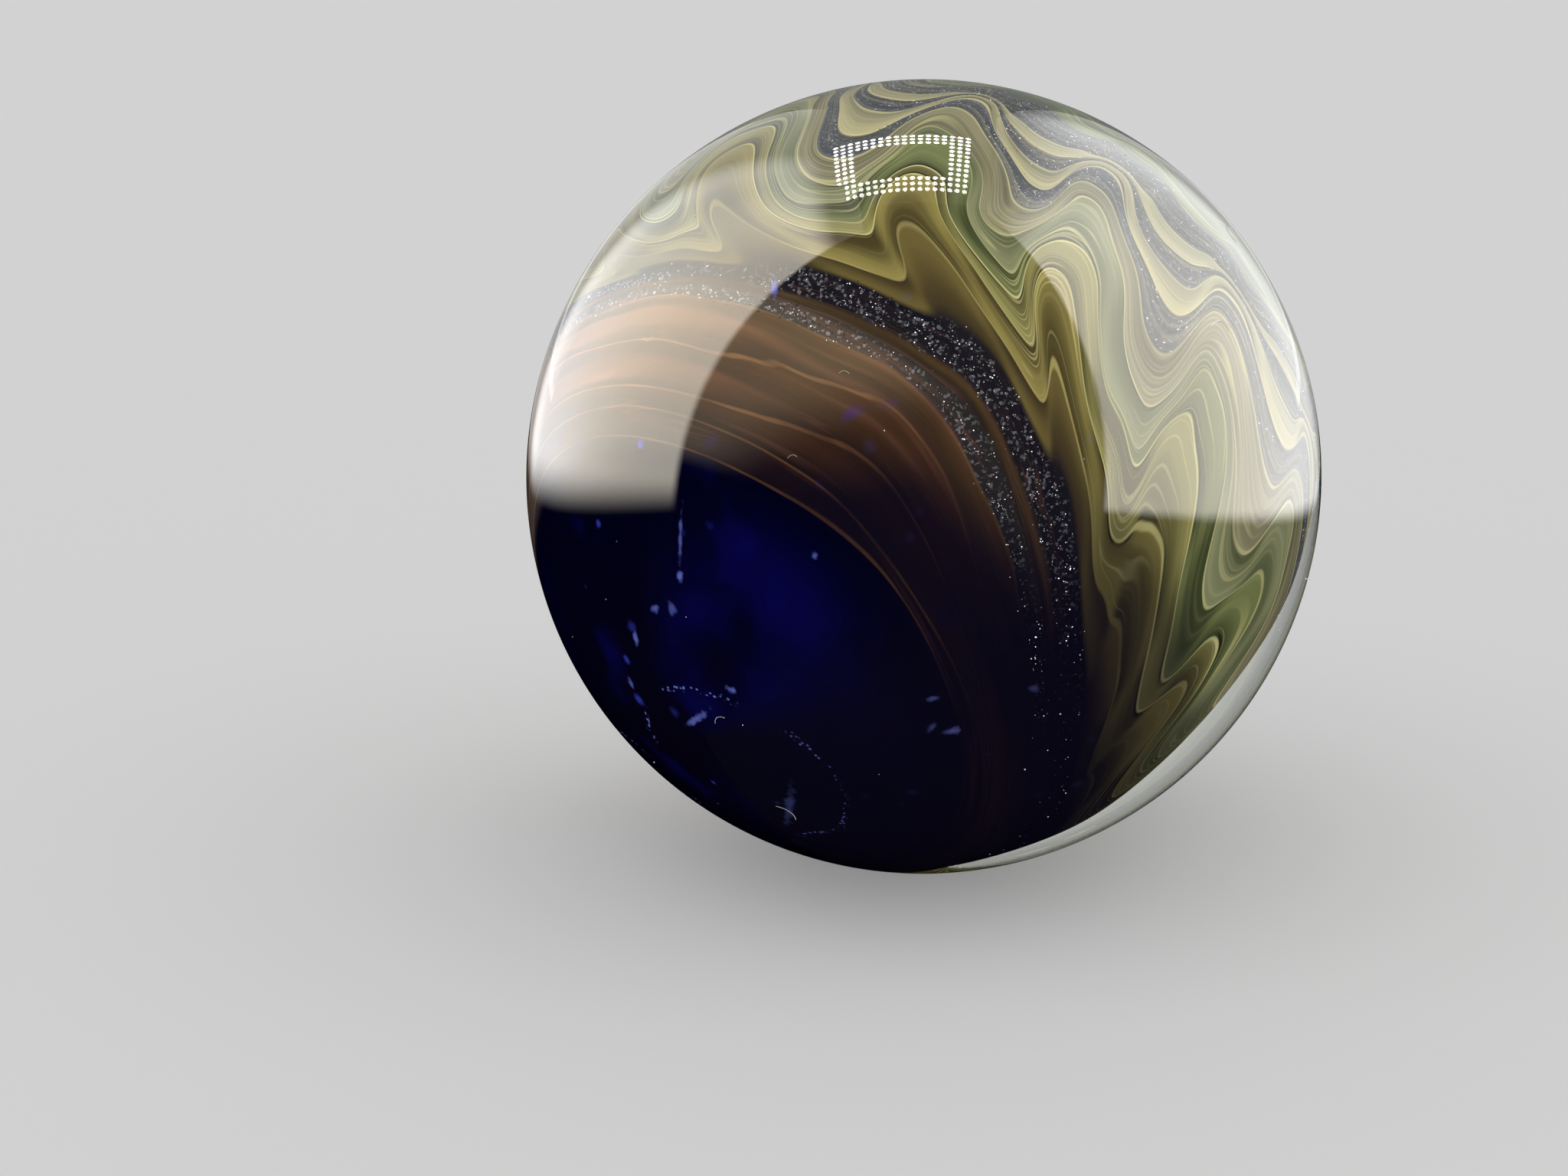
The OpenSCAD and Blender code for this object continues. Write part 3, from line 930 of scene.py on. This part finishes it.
def add_camera():
    """Stands the camera so that the ball's centre falls on its own pixel."""
    right = (BALL_AT_PX[0] - IMAGE_W / 2) / FOCAL_PX
    up = (IMAGE_H / 2 - BALL_AT_PX[1]) / FOCAL_PX
    pitch = math.radians(CAMERA_PITCH)
    ahead = math.cos(pitch) - up * math.sin(pitch)
    drop = math.sin(pitch) + up * math.cos(pitch)
    yaw = math.atan2(right, ahead)
    toward = Vector((0.0, math.hypot(right, ahead), drop)).normalized()
    data = bpy.data.cameras.new("camera")
    data.sensor_width = 36.0
    data.lens = FOCAL_PX / IMAGE_W * data.sensor_width
    data.clip_start = 0.01
    camera = new_object("camera", data)
    camera.location = -BALL_DISTANCE * toward
    camera.rotation_euler = (math.pi / 2 + pitch, 0.0, yaw)
    bpy.context.scene.camera = camera


def reflected_only(name, mesh, glow=0.0):
    """Puts up a mesh that shows only in reflections: a light or, with no glow, a black board.

    A light adds to what lies behind it, and a black board hides it. Both are clear where
    they are seen through the marble.
    """
    thing = new_object(name, mesh)
    material = bpy.data.materials.new(name)
    material.use_nodes = True
    tree = material.node_tree
    tree.nodes.clear()
    through = seen_through(tree)
    light = tree.nodes.new("ShaderNodeEmission")
    plug(tree, (1.0 - through) * glow, light.inputs["Strength"])
    clear = tree.nodes.new("ShaderNodeBsdfTransparent")
    if not glow:
        plug(tree, through, clear.inputs["Color"])
    both = tree.nodes.new("ShaderNodeAddShader")
    plug(tree, light.outputs[0], both.inputs[0])
    plug(tree, clear.outputs[0], both.inputs[1])
    out = tree.nodes.new("ShaderNodeOutputMaterial")
    plug(tree, both.outputs[0], out.inputs["Surface"])
    material.cycles.emission_sampling = "NONE"
    mesh.materials.append(material)
    thing.visible_camera = thing.visible_diffuse = thing.visible_shadow = False
    thing.visible_transmission = False


def soft_sun(name, toward, strength, width):
    """A broad sky-like light from one side, even over the whole floor."""
    data = bpy.data.lights.new(name, "SUN")
    data.energy = strength
    data.angle = math.radians(width)
    lamp = new_object(name, data)
    lamp.rotation_euler = Vector(toward).to_track_quat("Z", "Y").to_euler()
    lamp.visible_glossy = lamp.visible_transmission = False


# The two lit walls, in ball radii, counted back from the ball's middle and up from the
# floor. The front edge leans back by "lean" per radius of height, and the foot fades in
# over "step". The light dims behind the ball, from one "far" place to the other, which
# lean by "far_lean", and from one "high" place to the other
WALL_X, WALL_END, WALL_TOP = 3.0, 13.0, 14.0
WALLS = {
    "left_wall": {"side": -1, "glow": 7.2, "tint": (1.0, 0.93, 0.80, 1.0),
                  "front": -1.75, "lean": 0.0, "foot": 0.62, "step": 0.5,
                  "far": (2.6, 4.4), "far_lean": 0.0, "high": (7.5, 10.0)},
    "right_wall": {"side": 1, "glow": 6.3, "tint": (1.0, 0.96, 0.89, 1.0),
                   "front": -3.35, "lean": 0.22, "foot": 0.6, "step": 0.18,
                   "far": (0.5, 5.0), "far_lean": 0.9, "high": (6.0, 12.0)},
}
# How both walls' edges soften and slope, where they dim behind the ball and turn white,
# and how much each dimming takes away
EDGE_FADE, FOOT_SLOPE = 0.18, 0.16
BEHIND, WHITER = (-0.4, 2.4), (-0.5, 2.0)
DIM_BEHIND, DIM_FAR, DIM_HIGH = 0.6, 0.8, 0.85


def wall_of_light(name, side, glow, tint, front, lean, foot, step, far, far_lean, high):
    """A warm wall on one side, whiter and dimmer at its back, seen only in reflections."""
    deep, tall = (WALL_END - front) * BALL_R, WALL_TOP * BALL_R
    data = bpy.data.lights.new(name, "AREA")
    data.shape = "RECTANGLE"
    data.size, data.size_y = deep, tall
    data.energy = math.pi * deep * tall
    data.use_nodes = True
    tree = data.node_tree
    _, y, z = split(tree, tree.nodes.new("ShaderNodeNewGeometry").outputs["Position"])
    back, up = y / BALL_R, (z - FLOOR_Z) / BALL_R
    lit = rise(back - up * lean, front, front + EDGE_FADE)
    lit = lit * rise(up + back * FOOT_SLOPE, foot, foot + step)
    lit = lit * (1.0 - rise(back, *BEHIND) * DIM_BEHIND)
    lit = lit * (1.0 - rise(back - up * far_lean, *far) * DIM_FAR)
    lit = lit * (1.0 - rise(up, *high) * DIM_HIGH)
    lit = lit * (1.0 - seen_through(tree))
    light = tree.nodes["Emission"]
    plug(tree, lit * glow, light.inputs["Strength"])
    plug(tree, blend_colours(tree, rise(back, *WHITER), tint, WHITE), light.inputs["Color"])
    lamp = new_object(name, data)
    lamp.location = (side * WALL_X * BALL_R, (front + WALL_END) / 2 * BALL_R, FLOOR_Z + tall / 2)
    lamp.rotation_euler = (math.pi / 2, 0.0, side * math.pi / 2)
    lamp.visible_camera = lamp.visible_diffuse = lamp.visible_transmission = False


# The ring lamp, in metres: its middle, how many small lights it has each way and across
# its rim, the gaps between their middles, and each one's radius as a share of its gap
LAMP_AT = (-0.036, 0.16, 0.455)
LAMP_ACROSS, LAMP_DEEP, LAMP_ROWS = 18, 13, 3
LAMP_STEP_X, LAMP_STEP_Y = 0.0117, 0.0178
LAMP_GLOW, LAMP_DOT, LAMP_SIDES = 16.0, 0.36, 8


def add_ring_lamp():
    """A square ring of small lights, which only shows as a highlight on the glass."""
    corners, faces = [], []
    for i in range(LAMP_ACROSS):
        for j in range(LAMP_DEEP):
            if min(i, j, LAMP_ACROSS - 1 - i, LAMP_DEEP - 1 - j) >= LAMP_ROWS:
                continue
            x = (i + 0.5 - LAMP_ACROSS / 2) * LAMP_STEP_X
            y = (j + 0.5 - LAMP_DEEP / 2) * LAMP_STEP_Y
            faces.append([len(corners) + k for k in range(LAMP_SIDES)])
            for k in range(LAMP_SIDES):
                angle = 2 * math.pi * k / LAMP_SIDES
                corners.append((x + LAMP_DOT * LAMP_STEP_X * math.cos(angle),
                                y + LAMP_DOT * LAMP_STEP_Y * math.sin(angle), 0.0))
    mesh = bpy.data.meshes.new("ring_lamp")
    mesh.from_pydata([Vector(corner) + Vector(LAMP_AT) for corner in corners], [], faces)
    reflected_only("ring_lamp", mesh, LAMP_GLOW)


# The black boards: how wide the long ones reach, how far over the floor the flat one
# lies, and where the two side ones stand and end, just behind the lit walls
BOARD_REACH, BOARD_LIFT = 80 * BALL_R, 0.1 * MM
BOARD_X, BOARD_TOP = 3.05 * BALL_R, 12.0 * BALL_R
BOARD_FRONT, BOARD_BACK = -5.87 * BALL_R, 2.0 * BALL_R
CAMERA_BOARD_RISE = (0.0, 0.3, 2.6)


def board(name, corner, side_a, side_b):
    """A flat black board, given by a corner and two sides."""
    start, a, b = Vector(corner), Vector(side_a), Vector(side_b)
    mesh = bpy.data.meshes.new(name)
    mesh.from_pydata([start, start + a, start + a + b, start + b], [], [(0, 1, 2, 3)])
    reflected_only(name, mesh)


def add_boards():
    """Black boards under the ball, behind the camera and behind the walls."""
    board("floor_board", (-BOARD_REACH, -BOARD_REACH / 2, FLOOR_Z + BOARD_LIFT),
          (2 * BOARD_REACH, 0, 0), (0, BOARD_REACH, 0))
    board("camera_board", (-BOARD_REACH, BOARD_FRONT, FLOOR_Z),
          (2 * BOARD_REACH, 0, 0), CAMERA_BOARD_RISE)
    for name, side in (("left_board", -1), ("right_board", 1)):
        board(name, (side * BOARD_X, BOARD_FRONT, FLOOR_Z),
              (0, BOARD_BACK - BOARD_FRONT, 0), (0, 0, BOARD_TOP))


def add_floor():
    """A wide, pale floor without gloss."""
    mesh = bpy.data.meshes.new("studio_floor")
    corners = [(-FLOOR_REACH, -FLOOR_REACH, FLOOR_Z), (FLOOR_REACH, -FLOOR_REACH, FLOOR_Z),
               (FLOOR_REACH, FLOOR_REACH, FLOOR_Z), (-FLOOR_REACH, FLOOR_REACH, FLOOR_Z)]
    mesh.from_pydata(corners, [], [(0, 1, 2, 3)])
    floor = new_object("studio_floor", mesh)
    paint_coat, _, shader = new_material("pale_floor")
    shader.inputs["Base Color"].default_value = (FLOOR_PAINT, FLOOR_PAINT, FLOOR_PAINT, 1.0)
    shader.inputs["Roughness"].default_value = 0.9
    shader.inputs["Specular IOR Level"].default_value = 0.0
    mesh.materials.append(paint_coat)


def add_world():
    """A plain sky. It is dim in reflections, as it would be in a room."""
    world = bpy.data.worlds.new("studio")
    bpy.context.scene.world = world
    world.use_nodes = True
    tree = world.node_tree
    path = tree.nodes.new("ShaderNodeLightPath")
    through = seen_through(tree)
    shine = Wire(tree, path.outputs["Is Glossy Ray"]) * (1.0 - through)
    seen = calc("MAXIMUM", Wire(tree, path.outputs["Is Camera Ray"]), through)
    background = tree.nodes["Background"]
    background.inputs["Color"].default_value = WHITE
    level = seen * (SKY_SEEN - SKY_LIGHT) + shine * (SKY_SHINE - SKY_LIGHT) + SKY_LIGHT
    plug(tree, level, background.inputs["Strength"])


add_camera()
for wall_name, wall in WALLS.items():
    wall_of_light(wall_name, **wall)
add_ring_lamp()
soft_sun("left_sun", toward=(-0.5, -0.45, 1.0), strength=0.75, width=70.0)
soft_sun("right_sun", toward=(0.7, -0.25, 0.9), strength=0.6, width=70.0)
add_boards()
add_floor()
add_world()
bpy.context.scene.view_settings.view_transform = "Standard"
